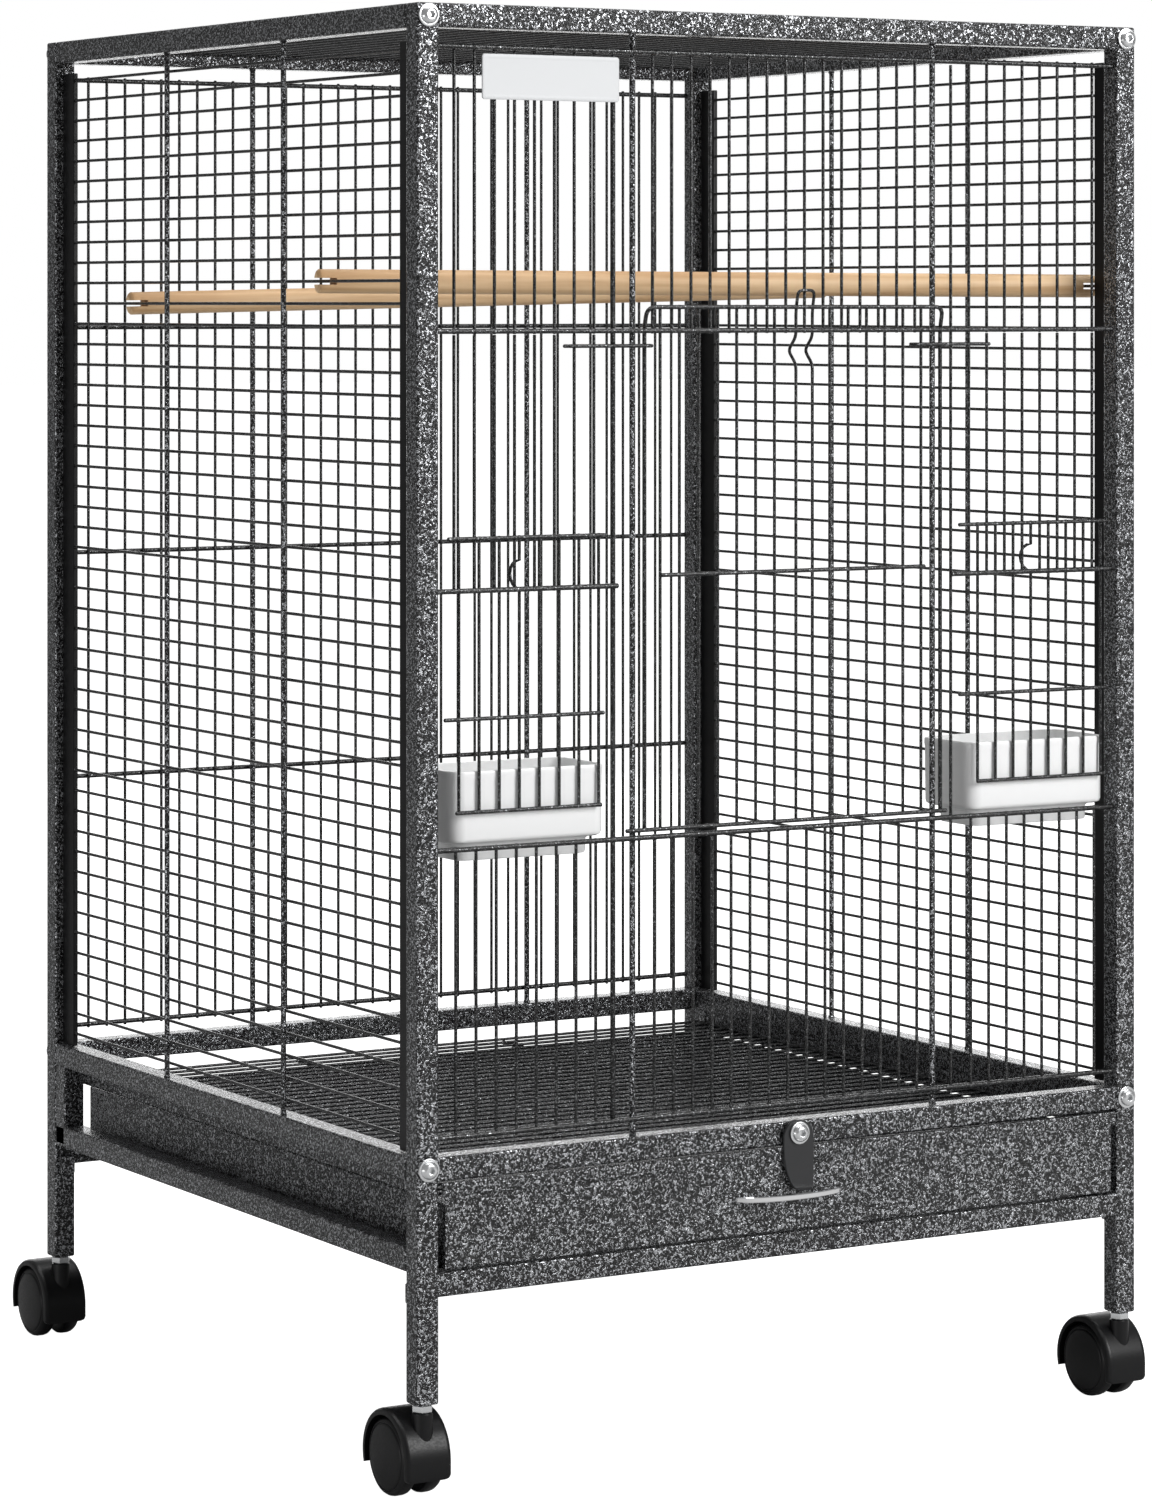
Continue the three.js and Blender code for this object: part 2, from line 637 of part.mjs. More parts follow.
function addDoors() {
  const left = feederDoor(-201.9, [-210, -114], [-212, -115.6], [-204.5, -116.5]);
  const right = feederDoor(10 * PITCH + 6, [112, 213], [112, 213], [125, 212]);
  add(cage, "main_door", mainDoor(), BLACK_WIRE, FRONT);
  add(cage, "left_feeder_door", left, BLACK_WIRE, FRONT);
  add(cage, "right_feeder_door", right, BLACK_WIRE, FRONT);
  add(cage, "left_door_guide", doorGuide(-85.2, -137), BLACK_WIRE, FRONT);
  add(cage, "right_door_guide", doorGuide(82.8, 133), BLACK_WIRE, FRONT);
}

function addFittings() {
  const nearPerch = perchPlacement([117.3, 628.8], [35.2, 626.7]);
  const farPerch = perchPlacement([351.5, 616.8], [311, 626.7]);
  add(cage, "near_perch", perch(nearPerch.length), PALE_WOOD, nearPerch.place);
  add(cage, "far_perch", perch(farPerch.length), PALE_WOOD, farPerch.place);
  add(cage, "left_cup", feedingCup(-205), CUP_WHITE);
  add(cage, "right_cup", feedingCup(122.5), CUP_WHITE);
  add(cage, "name_plate", block([-189.5, -106.6], [3.6, 4.8], [723, 746.7]), PLATE_SILVER, FRONT);
  add(cage, "floor_grate", floorGrate(), BLACK_WIRE);
  add(cage, "tray", tray(), HAMMERTONE);
  add(cage, "tray_handle", trayHandle(), CHROME, { at: [0, -HALF - GAP, 0] });
  add(cage, "tray_latch", trayLatch(), SMOOTH_BLACK, { at: [LATCH.x, -HALF, 0] });
  const boltAt = [LATCH.x, -HALF - 3.5 - GAP, LATCH.pivot];
  add(cage, "latch_bolt", bolt(), ZINC, { at: boltAt, turn: [Math.PI / 2, 0, 0] });
}

function addCasters() {
  for (const [end, y] of [["front", -POST], ["rear", POST]]) {
    for (const [side, x] of [["left", -POST], ["right", POST]]) addCaster(cage, `${end}_${side}`, x, y);
  }
}

addFrame();
addPanels();
addDoors();
addFittings();
addCasters();

export default root;
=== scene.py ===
"""A square wire bird cage on casters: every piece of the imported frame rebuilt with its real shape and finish.

Shapes are worked out in millimetres in the row frame and scaled to metres when a piece is made.
"""

import json
import math

import bmesh
import bpy
from mathutils import Matrix, Vector


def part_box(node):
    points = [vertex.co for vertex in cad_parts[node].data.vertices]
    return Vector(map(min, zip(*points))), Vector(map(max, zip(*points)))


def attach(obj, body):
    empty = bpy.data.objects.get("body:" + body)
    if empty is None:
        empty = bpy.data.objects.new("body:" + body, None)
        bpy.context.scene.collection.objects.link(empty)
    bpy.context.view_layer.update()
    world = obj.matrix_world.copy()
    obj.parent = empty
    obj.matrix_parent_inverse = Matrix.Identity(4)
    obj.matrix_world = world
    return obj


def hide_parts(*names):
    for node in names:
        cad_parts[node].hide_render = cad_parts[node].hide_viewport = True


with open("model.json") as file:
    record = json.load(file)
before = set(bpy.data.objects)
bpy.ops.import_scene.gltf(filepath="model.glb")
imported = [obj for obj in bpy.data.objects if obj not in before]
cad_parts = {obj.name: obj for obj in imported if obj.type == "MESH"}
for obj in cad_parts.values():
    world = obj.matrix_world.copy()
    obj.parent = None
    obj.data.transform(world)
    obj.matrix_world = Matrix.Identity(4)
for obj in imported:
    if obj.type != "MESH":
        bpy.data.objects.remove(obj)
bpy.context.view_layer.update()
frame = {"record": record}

MM = 0.001


def box_mm(node):
    """The lowest and highest corner of a node of the frame, in millimetres."""
    low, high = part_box(node)
    return low / MM, high / MM


# ---- Driving dimensions, in millimetres ----

CAGE_LOW, CAGE_HIGH = box_mm("front_frame")
REAR_HIGH = box_mm("rear_frame")[1]
LEFT_X, RIGHT_X, FRONT_Y = CAGE_LOW.x, CAGE_HIGH.x, CAGE_LOW.y
BACK_Y, TOP_Z, FOOT_Z = REAR_HIGH.y, CAGE_HIGH.z, CAGE_LOW.z
MIDDLE_Y = (FRONT_Y + BACK_Y) / 2

TUBE = 12.7
ARRIS = 1.2
RAIL_HEIGHTS = (104.8, 164.3, TOP_Z - TUBE)
SIDE_LOW_RAIL = 117
RUN = RIGHT_X - LEFT_X - 2 * TUBE
EDGE = RUN / 2 - 0.3

PITCH = 12.05
LAST_WIRE = 17
STAY = 8
DIVIDER = 9
WIRE = 0.88
ROD = 1.4
DOOR_ROD = 1.15

ROD_DEPTH = 4.2
WIRE_DEPTH = 6.6
INLINE_DEPTH = 4.7
CROSS_DEPTH = 2.3
DOOR_ROD_DEPTH = 4.15
DOOR_WIRE_DEPTH = 6.7

ROD_1, ROD_2, FEEDER_ROD, ROD_3, ROD_4 = 750, 602.5, 468, 334.2, 185.8


# ---- Shapes ----


class Form:
    """Points and faces that become one piece, each face with the number of its finish."""

    def __init__(self):
        self.points = []
        self.faces = []
        self.finishes = []

    def loft(self, rings, finish=0, capped=True, closed=False):
        """A skin over rings of equally many points."""
        first = len(self.points)
        count = len(rings[0])
        for ring in rings:
            self.points.extend(ring)
        pairs = len(rings) if closed else len(rings) - 1
        for i in range(pairs):
            low = first + i * count
            high = first + (i + 1) % len(rings) * count
            for j in range(count):
                k = (j + 1) % count
                self.add((low + j, low + k, high + k, high + j), finish)
        if capped and not closed:
            last = first + (len(rings) - 1) * count
            self.add(tuple(first + j for j in reversed(range(count))), finish)
            self.add(tuple(last + j for j in range(count)), finish)

    def add(self, face, finish):
        self.faces.append(face)
        self.finishes.append(finish)

    def build(self, name, materials, place=None, crease=38):
        """The finished object, with its faces turned outward and its flats kept flat."""
        mesh = bpy.data.meshes.new(name)
        mesh.from_pydata([Vector(p) * MM for p in self.points], [], self.faces)
        for material in materials:
            mesh.materials.append(material)
        mesh.polygons.foreach_set("material_index", self.finishes)
        turner = bmesh.new()
        turner.from_mesh(mesh)
        bmesh.ops.recalc_face_normals(turner, faces=turner.faces)
        turner.to_mesh(mesh)
        turner.free()
        mesh.polygons.foreach_set("use_smooth", [True] * len(mesh.polygons))
        mesh.set_sharp_from_angle(angle=math.radians(crease))
        piece = bpy.data.objects.new(name, mesh)
        bpy.context.scene.collection.objects.link(piece)
        if place is not None:
            piece.matrix_world = place
        shading = piece.modifiers.new("even shading", "WEIGHTED_NORMAL")
        shading.keep_sharp = True
        return piece


def bent(corners, radius, steps=5):
    """A path through the corners, each turned with a bend of about that radius."""
    corners = [Vector(c) for c in corners]
    path = [corners[0]]
    for before, corner, after in zip(corners, corners[1:], corners[2:]):
        reach = min(radius, (before - corner).length / 2.1, (after - corner).length / 2.1)
        start = corner + (before - corner).normalized() * reach
        end = corner + (after - corner).normalized() * reach
        for i in range(steps + 1):
            t = i / steps
            path.append(start * (1 - t) ** 2 + corner * 2 * t * (1 - t) + end * t**2)
    path.append(corners[-1])
    return path


def wire(form, path, radius, sides=10, finish=0):
    """A round wire along a path, sheared off with a slightly blunt edge at each end."""
    path = [Vector(p) for p in path]
    blunt = radius * 0.35
    start, end = (path[1] - path[0]).normalized(), (path[-1] - path[-2]).normalized()
    stations = [(path[0], start, 0.72), (path[0] + start * blunt, start, 1)]
    for before, point, after in zip(path, path[1:], path[2:]):
        stations.append((point, (after - before).normalized(), 1))
    stations += [(path[-1] - end * blunt, end, 1), (path[-1], end, 0.72)]
    side = start.orthogonal().normalized()
    rings = []
    for centre, along, share in stations:
        side = (side - along * side.dot(along)).normalized()
        other = along.cross(side)
        ring = []
        for i in range(sides):
            angle = math.tau * i / sides
            turned = side * math.cos(angle) + other * math.sin(angle)
            ring.append(centre + turned * radius * share)
        rings.append(ring)
    form.loft(rings, finish)


def bead(form, centre, radius, finish=0):
    """The small uneven lump of a spot weld."""
    centre = Vector(centre)
    rings = []
    for level in (-0.86, -0.35, 0.35, 0.86):
        spread = radius * math.sqrt(1 - level**2)
        wobble = 0.12 * math.sin(centre.x * 1.7 + centre.z * 2.3 + level * 3)
        ring = []
        for i in range(7):
            angle = math.tau * i / 7 + centre.z
            reach = spread * (1 + wobble * math.cos(2 * angle))
            ring.append(centre + Vector((reach * math.cos(angle), reach * math.sin(angle), radius * level)))
        rings.append(ring)
    form.loft(rings, finish)


def slab(form, across, along, upright, radius=ARRIS, segments=3, finish=0):
    """A block between two limits on each axis, with all its edges rounded."""
    limits = (across, along, upright)
    size = [high - low for low, high in limits]
    middle = Vector([(low + high) / 2 for low, high in limits])
    shaper = bmesh.new()
    bmesh.ops.create_cube(shaper, size=1)
    bmesh.ops.scale(shaper, vec=size, verts=shaper.verts)
    reach = min(radius, min(size) * 0.45)
    bmesh.ops.bevel(
        shaper, geom=shaper.edges[:], offset=reach, segments=segments, profile=0.5, affect="EDGES"
    )
    first = len(form.points)
    shaper.verts.index_update()
    form.points.extend(middle + v.co for v in shaper.verts)
    for face in shaper.faces:
        form.add(tuple(first + v.index for v in face.verts), finish)
    shaper.free()


def lathe(form, profile, sides, place, finish=0, hexed=()):
    """A profile of (radius, height) turned about Z and then placed; the rings in hexed are six-sided."""
    rings = []
    for number, (radius, height) in enumerate(profile):
        ring = []
        for i in range(sides):
            angle = math.tau * i / sides
            reach = max(radius, 0.01)
            if number in hexed:
                reach *= math.cos(math.pi / 6) / math.cos(angle % (math.pi / 3) - math.pi / 6)
            ring.append(place @ Vector((reach * math.cos(angle), reach * math.sin(angle), height)))
        rings.append(ring)
    form.loft(rings, finish)


def rounded_ring(across, along, radius, to_point, steps=6):
    """A rounded rectangle; to_point turns each of its flat points into a point in space."""
    (x0, x1), (y0, y1) = across, along
    ring = []
    corners = ((x1, y1, 0), (x0, y1, 1), (x0, y0, 2), (x1, y0, 3))
    for x, y, quarter in corners:
        centre_x = x - math.copysign(radius, x - (x0 + x1) / 2)
        centre_y = y - math.copysign(radius, y - (y0 + y1) / 2)
        for i in range(steps + 1):
            angle = (quarter + i / steps) * math.pi / 2
            flat = centre_x + radius * math.cos(angle), centre_y + radius * math.sin(angle)
            ring.append(Vector(to_point(*flat)))
    return ring


def arc(sweep, steps):
    return [sweep * i / steps for i in range(steps + 1)]


def grow(limits, amount):
    return limits[0] - amount, limits[1] + amount


# ---- The five outer faces, each measured as (across, height, depth below its surface) ----


def on_front(u, v, depth):
    return Vector((u, FRONT_Y + depth, v))


def on_back(u, v, depth):
    return Vector((u, BACK_Y - depth, v))


def on_left(u, v, depth):
    return Vector((LEFT_X + depth, MIDDLE_Y + u, v))


def on_right(u, v, depth):
    return Vector((RIGHT_X - depth, MIDDLE_Y + u, v))


def on_roof(u, v, depth):
    return Vector((u, MIDDLE_Y + v, TOP_Z - depth))


def rod_across(form, face, span, v, depth, radius=ROD):
    wire(form, [face(span[0], v, depth), face(span[1], v, depth)], radius, sides=12)


def wire_up(form, face, u, span, depth, radius=WIRE):
    wire(form, [face(u, span[0], depth), face(u, span[1], depth)], radius)


def columns(first, last, skipped=()):
    return [k * PITCH for k in range(first, last + 1) if abs(k) not in skipped]


# ---- Shared effects, each made once ----


def effect(name, inputs, outputs):
    """An empty node group with number inputs and the named outputs."""
    group = bpy.data.node_groups.new(name, "ShaderNodeTree")
    for label, value in inputs:
        socket = group.interface.new_socket(label, in_out="INPUT", socket_type="NodeSocketFloat")
        socket.default_value = value
    for label in outputs:
        kind = "NodeSocketColor" if label == "Base Color" else "NodeSocketFloat"
        group.interface.new_socket(label, in_out="OUTPUT", socket_type=kind)
    return group, group.nodes.new("NodeGroupInput"), group.nodes.new("NodeGroupOutput")


def noise_at(group, scale_socket, detail, distortion=0.0):
    """Noise fixed to the piece's own coordinates."""
    where = group.nodes.new("ShaderNodeTexCoord")
    grains = group.nodes.new("ShaderNodeTexNoise")
    grains.inputs["Detail"].default_value = detail
    grains.inputs["Distortion"].default_value = distortion
    group.links.new(where.outputs["Object"], grains.inputs["Vector"])
    group.links.new(scale_socket, grains.inputs["Scale"])
    return grains.outputs["Factor"] if "Factor" in grains.outputs else grains.outputs["Fac"]


def remap(group, value, source, target):
    """A value taken smoothly from one range to another."""
    step = group.nodes.new("ShaderNodeMapRange")
    step.interpolation_type = "SMOOTHSTEP"
    step.inputs["From Min"].default_value = source[0]
    step.inputs["From Max"].default_value = source[1]
    step.inputs["To Min"].default_value = target[0]
    step.inputs["To Max"].default_value = target[1]
    group.links.new(value, step.inputs["Value"])
    return step.outputs["Result"]


def blend_colors(group, share, dark, light):
    mix = group.nodes.new("ShaderNodeMix")
    mix.data_type = "RGBA"
    mix.inputs["A"].default_value = (*dark, 1)
    mix.inputs["B"].default_value = (*light, 1)
    group.links.new(share, mix.inputs["Factor"])
    return next(o for o in mix.outputs if o.type == "RGBA")


def hammered_effect(name, size_per_metre, dark, light, cover):
    """Silver flecks that curl through a dark coat and stand a little proud of it."""
    inputs = [("Flecks Per Metre", size_per_metre)]
    outputs = ["Base Color", "Roughness", "Metallic", "Bump Height"]
    group, given, result = effect(name, inputs, outputs)
    flecks = noise_at(group, given.outputs["Flecks Per Metre"], 1.5, 0.9)
    share = remap(group, flecks, cover, (0, 1))
    group.links.new(blend_colors(group, share, dark, light), result.inputs["Base Color"])
    group.links.new(remap(group, flecks, cover, (0.2, 0.24)), result.inputs["Roughness"])
    group.links.new(remap(group, flecks, cover, (0.0, 0.85)), result.inputs["Metallic"])
    group.links.new(remap(group, flecks, (0.3, 0.7), (0, 1)), result.inputs["Bump Height"])
    return group


def grain_effect():
    """The faint unevenness of moulded plastic or plated metal."""
    inputs = [("Grains Per Metre", 900)]
    group, given, result = effect("fine grain", inputs, ["Roughness", "Bump Height"])
    grains = noise_at(group, given.outputs["Grains Per Metre"], 3)
    group.links.new(remap(group, grains, (0.3, 0.7), (0.3, 0.42)), result.inputs["Roughness"])
    group.links.new(grains, result.inputs["Bump Height"])
    return group


def wood_effect():
    """Long pale figure along the perch, with short darker pores."""
    inputs = [("Figure Per Metre", 60)]
    outputs = ["Base Color", "Roughness", "Bump Height"]
    group, given, result = effect("perch figure", inputs, outputs)
    where = group.nodes.new("ShaderNodeTexCoord")
    stretch = group.nodes.new("ShaderNodeMapping")
    stretch.inputs["Scale"].default_value = (0.06, 1.6, 1.6)
    figure = group.nodes.new("ShaderNodeTexNoise")
    figure.inputs["Detail"].default_value = 5
    figure.inputs["Distortion"].default_value = 0.4
    group.links.new(where.outputs["Object"], stretch.inputs["Vector"])
    group.links.new(stretch.outputs["Vector"], figure.inputs["Vector"])
    group.links.new(given.outputs["Figure Per Metre"], figure.inputs["Scale"])
    share = figure.outputs[0]
    tone = remap(group, share, (0.36, 0.64), (0, 1))
    color = blend_colors(group, tone, (0.56, 0.33, 0.155), (0.86, 0.60, 0.35))
    group.links.new(color, result.inputs["Base Color"])
    group.links.new(remap(group, share, (0.3, 0.7), (0.62, 0.48)), result.inputs["Roughness"])
    group.links.new(share, result.inputs["Bump Height"])
    return group


COAT_DARK = (0.003, 0.0031, 0.0034)
HAMMERED = hammered_effect("hammered flecks", 800, COAT_DARK, (0.5, 0.51, 0.53), (0.53, 0.6))
SPECKLED = hammered_effect("wire flecks", 1100, COAT_DARK, (0.24, 0.245, 0.25), (0.57, 0.68))
GRAIN = grain_effect()
FIGURE = wood_effect()


# ---- Materials ----


def finish(name, color, roughness, metallic=0.0, coat=0.0):
    """A plain finish; returns the material and its surface."""
    material = bpy.data.materials.new(name)
    material.use_nodes = True
    surface = material.node_tree.nodes["Principled BSDF"]
    surface.inputs["Base Color"].default_value = (*color, 1)
    surface.inputs["Roughness"].default_value = roughness
    surface.inputs["Metallic"].default_value = metallic
    surface.inputs["Coat Weight"].default_value = coat
    return material, surface


def wear(material, surface, group, taken, strength, distance):
    """Adds a shared effect: the taken outputs go to the surface, and its height becomes a bump."""
    tree = material.node_tree
    shared = tree.nodes.new("ShaderNodeGroup")
    shared.node_tree = group
    for label in taken:
        tree.links.new(shared.outputs[label], surface.inputs[label])
    bump = tree.nodes.new("ShaderNodeBump")
    bump.inputs["Strength"].default_value = strength
    bump.inputs["Distance"].default_value = distance
    tree.links.new(shared.outputs["Bump Height"], bump.inputs["Height"])
    tree.links.new(bump.outputs["Normal"], surface.inputs["Normal"])


def make_finishes():
    made = {}
    material, surface = finish("hammertone coat", (0.11, 0.112, 0.12), 0.3)
    wear(material, surface, HAMMERED, ["Base Color", "Roughness", "Metallic"], 0.7, 0.0006)
    made["frame_coating"] = material
    material, surface = finish("flecked wire coat", (0.045, 0.047, 0.05), 0.32)
    wear(material, surface, SPECKLED, ["Base Color", "Roughness", "Metallic"], 0.4, 0.0003)
    made["wire_coating"] = material
    material, surface = finish("smooth dark coat", (0.022, 0.0225, 0.024), 0.38)
    wear(material, surface, GRAIN, ["Roughness"], 0.05, 0.0001)
    made["latch_coating"] = material
    # The strips' smooth coat is made darker than the latch's same coat. The extra darkness is painted shade, where
    # the strips sit in shadow.
    material, surface = finish("strip coat with painted shade", (0.005, 0.005, 0.0055), 0.4)
    wear(material, surface, GRAIN, ["Roughness"], 0.05, 0.0001)
    surface.inputs["Specular IOR Level"].default_value = 0.25
    made["strip_coating"] = material
    material, surface = finish("bright zinc", (0.76, 0.77, 0.78), 0.27, metallic=0.9)
    wear(material, surface, GRAIN, [], 0.06, 0.0001)
    made["bright_zinc"] = material
    material, surface = finish("handle chrome", (0.88, 0.88, 0.89), 0.07, metallic=1)
    wear(material, surface, GRAIN, [], 0.02, 0.0001)
    made["handle_chrome"] = material
    material, surface = finish("cup plastic", (0.93, 0.935, 0.935), 0.22)
    wear(material, surface, GRAIN, [], 0.03, 0.0001)
    surface.inputs["Subsurface Weight"].default_value = 0.15
    surface.inputs["Subsurface Radius"].default_value = (0.003, 0.003, 0.003)
    made["cup_plastic"] = material
    material, surface = finish("caster plastic", (0.006, 0.006, 0.0065), 0.3)
    wear(material, surface, GRAIN, ["Roughness"], 0.06, 0.0001)
    surface.inputs["Specular IOR Level"].default_value = 0.28
    made["caster_plastic"] = material
    material, surface = finish("perch wood", (0.68, 0.45, 0.25), 0.55)
    wear(material, surface, FIGURE, ["Base Color", "Roughness"], 0.12, 0.0004)
    made["perch_wood"] = material
    material, surface = finish("plate metal", (0.64, 0.65, 0.66), 0.5, metallic=0.1)
    wear(material, surface, GRAIN, [], 0.04, 0.0001)
    made["plate_metal"] = material
    return made


FINISHES = make_finishes()
BODY_OF = {node: body for body, nodes in frame["record"]["behaviour"]["bodies"].items() for node in nodes}


def fit(form, node, slot, place=None, extra=()):
    """Makes the piece that stands for a node, and puts it on the node's body."""
    materials = [FINISHES[slot], *extra]
    piece = form.build(f"{node}_piece", materials, place)
    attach(piece, BODY_OF[node])
    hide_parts(node)
    return piece


# ---- Frame ----


def end_frame(node, face, inward):
    """Two posts and three rails of square tube, two stays behind them, and a tab on each post."""
    form = Form()
    surface = face(0, 0, 0).y

    def layer(from_depth, to_depth):
        return tuple(sorted((surface + inward * from_depth, surface + inward * to_depth)))

    for left in (LEFT_X, RIGHT_X - TUBE):
        slab(form, (left, left + TUBE), layer(0, TUBE), (FOOT_Z, TOP_Z))
        middle = left + TUBE / 2
        slab(form, (middle - 4.5, middle + 4.5), layer(TUBE - 1, TUBE + 4.5), (100, 110.5), 0.8, 2)
    for low in RAIL_HEIGHTS:
        slab(form, (-RUN / 2 - 0.8, RUN / 2 + 0.8), layer(0, TUBE), (low, low + TUBE))
    for u in (-STAY * PITCH, STAY * PITCH):
        wire_up(form, face, u, (RAIL_HEIGHTS[1] + TUBE - 0.8, RAIL_HEIGHTS[2] + 0.8), 7.3, 1.65)
        for rod in (ROD_1, ROD_2, ROD_3, ROD_4):
            bead(form, face(u, rod, 5.7), 1.2)
        for rail in (RAIL_HEIGHTS[1] + TUBE, RAIL_HEIGHTS[2]):
            bead(form, face(u, rail, 7.3), 2.2)
    fit(form, node, "frame_coating")


def side_frame(node, face, sideways):
    """Three rails between the posts, two stays, a rear upright, and the runners of tray and grate."""
    form = Form()
    surface = face(0, 0, 0).x
    front, rear = MIDDLE_Y - EDGE, MIDDLE_Y + EDGE

    def layer(from_depth, to_depth):
        return tuple(sorted((surface + sideways * from_depth, surface + sideways * to_depth)))

    for low in (SIDE_LOW_RAIL, *RAIL_HEIGHTS[1:]):
        slab(form, layer(0, TUBE), (front, rear), (low, low + TUBE))
    slab(form, layer(0, TUBE), (rear - TUBE, rear), (SIDE_LOW_RAIL + 1, RAIL_HEIGHTS[1] + 1))
    slab(form, layer(TUBE - 1, TUBE + 12), (front, MIDDLE_Y + 210), (115.7, 117.3), 0.5, 2)
    slab(form, layer(10.5, 12), (front, rear - TUBE - 0.3), (154.6, 165), 0.5, 2)
    slab(form, layer(10.5, 23), (front, rear - TUBE - 0.3), (154.6, 156), 0.5, 2)
    for u in (-72.4, 72.4):
        wire_up(form, face, u, (RAIL_HEIGHTS[1] + TUBE - 0.8, RAIL_HEIGHTS[2] + 0.8), 3.5, 1.5)
        for rail in (RAIL_HEIGHTS[1] + TUBE, RAIL_HEIGHTS[2]):
            bead(form, face(u, rail, 3.5), 2)
    fit(form, node, "frame_coating")


# ---- Fixed panels ----


def side_panel(node, face, top_wire):
    """Level wires let into an upright strip beside each post."""
    form = Form()
    for edge in (-EDGE, EDGE - 15):
        low = face(edge, 177.3, 4.7)
        high = face(edge + 15, 753, 7.7)
        limits = [tuple(sorted(pair)) for pair in zip(low, high)]
        slab(form, *limits, radius=0.5, segments=2, finish=1)
    for k in range(48):
        height = top_wire - 12 * k
        wire(form, [face(-EDGE + 8, height, 6.2), face(EDGE - 8, height, 6.2)], WIRE)
        for u in (-EDGE + 15, EDGE - 15):
            bead(form, face(u, height, 6.2), 1.1)
    # The upright strips take the smooth coat darkened with painted shade.
    fit(form, node, "wire_coating", extra=[FINISHES["strip_coating"]])


def welded_rods(form, face, rods, wires, depth, wire_depth):
    """Rods across the panel with a spot weld at each wire."""
    for v in rods:
        rod_across(form, face, (-EDGE, EDGE), v, depth)
        for u in wires:
            bead(form, face(u, v, (depth + wire_depth) / 2), 1.05)


def back_panel():
    form = Form()
    wires = columns(-LAST_WIRE, LAST_WIRE, [STAY])
    welded_rods(form, on_back, (ROD_1, ROD_4), wires, ROD_DEPTH, INLINE_DEPTH)
    welded_rods(form, on_back, (ROD_2, FEEDER_ROD, ROD_3), wires, CROSS_DEPTH, INLINE_DEPTH)
    for u in wires:
        wire_up(form, on_back, u, (ROD_4 - 2, ROD_1 + 2), INLINE_DEPTH)
    fit(form, "back_panel", "wire_coating")


def roof_panel():
    form = Form()
    reach = EDGE - 2
    wires = columns(-LAST_WIRE, LAST_WIRE)
    welded_rods(form, on_roof, (-reach, reach), wires, ROD_DEPTH, INLINE_DEPTH)
    welded_rods(form, on_roof, (-reach / 3, reach / 3), wires, CROSS_DEPTH, INLINE_DEPTH)
    for u in wires:
        wire_up(form, on_roof, u, (-reach - 1, reach + 1), INLINE_DEPTH)
    fit(form, "roof_panel", "wire_coating")


def front_grilles():
    wires = columns(-LAST_WIRE, LAST_WIRE, [STAY, DIVIDER])
    upper = Form()
    welded_rods(upper, on_front, (ROD_1, ROD_2), wires, ROD_DEPTH, WIRE_DEPTH)
    for u in wires:
        wire_up(upper, on_front, u, (ROD_2 - 1.6, ROD_1 + 2), WIRE_DEPTH)
    fit(upper, "front_upper_grille", "wire_coating")
    lower = Form()
    welded_rods(lower, on_front, (ROD_3, ROD_4), wires, ROD_DEPTH, INLINE_DEPTH)
    for u in wires:
        wire_up(lower, on_front, u, (ROD_4 - 2, ROD_3 + 1.4), INLINE_DEPTH)
    fit(lower, "front_lower_grille", "wire_coating")


def front_column(node, side):
    """The wires above a feeder opening and the rod that they stop at."""
    form = Form()
    span = sorted((side * EDGE, side * (DIVIDER * PITCH - 1.4)))
    rod_across(form, on_front, span, FEEDER_ROD, ROD_DEPTH)
    for u in columns(DIVIDER + 1, LAST_WIRE):
        wire_up(form, on_front, side * u, (FEEDER_ROD - 1.6, ROD_2 - 1.9), WIRE_DEPTH)
        bead(form, on_front(side * u, FEEDER_ROD, 5.5), 1.05)
    fit(form, node, "wire_coating")


def divider_rod(node, side, radius):
    form = Form()
    depth = 5.9 + radius
    wire_up(form, on_front, side * DIVIDER * PITCH, (ROD_4 - 1.4, ROD_1 - 1.8), depth, radius)
    for v in (ROD_2, FEEDER_ROD, ROD_3, ROD_4):
        bead(form, on_front(side * DIVIDER * PITCH, v, 5.8), 1.05)
    fit(form, node, "wire_coating")


# ---- Doors ----

DOOR_TOP, DOOR_MIDDLE, DOOR_BOTTOM = 615, 472.8, 338.2
DOOR_LEFT, DOOR_RIGHT = -89.1, 101.5
LATCH_WIRES = (6.6, 17.2)


def door_rods(form, rods):
    for span, height, radius in rods:
        rod_across(form, on_front, span, height, DOOR_ROD_DEPTH, radius)


def door_welds(form, u, heights):
    for v in heights:
        bead(form, on_front(u, v, 5.6), 0.95)


def latch_wires(form):
    """Two door wires that close in a loop over the top rod, each with a chevron for the fingers."""
    depth = DOOR_WIRE_DEPTH

    def climb(u):
        chevron = [(u, 584, depth), (u, 591.5, depth + 7.5), (u, 599, depth)]
        return [(u, DOOR_BOTTOM - 1.2, depth), *chevron, (u, 613, depth), (u, 624, 4.4)]

    corners = climb(LATCH_WIRES[0]) + climb(LATCH_WIRES[1])[::-1]
    wire(form, bent([on_front(*c) for c in corners], 3.2), WIRE)


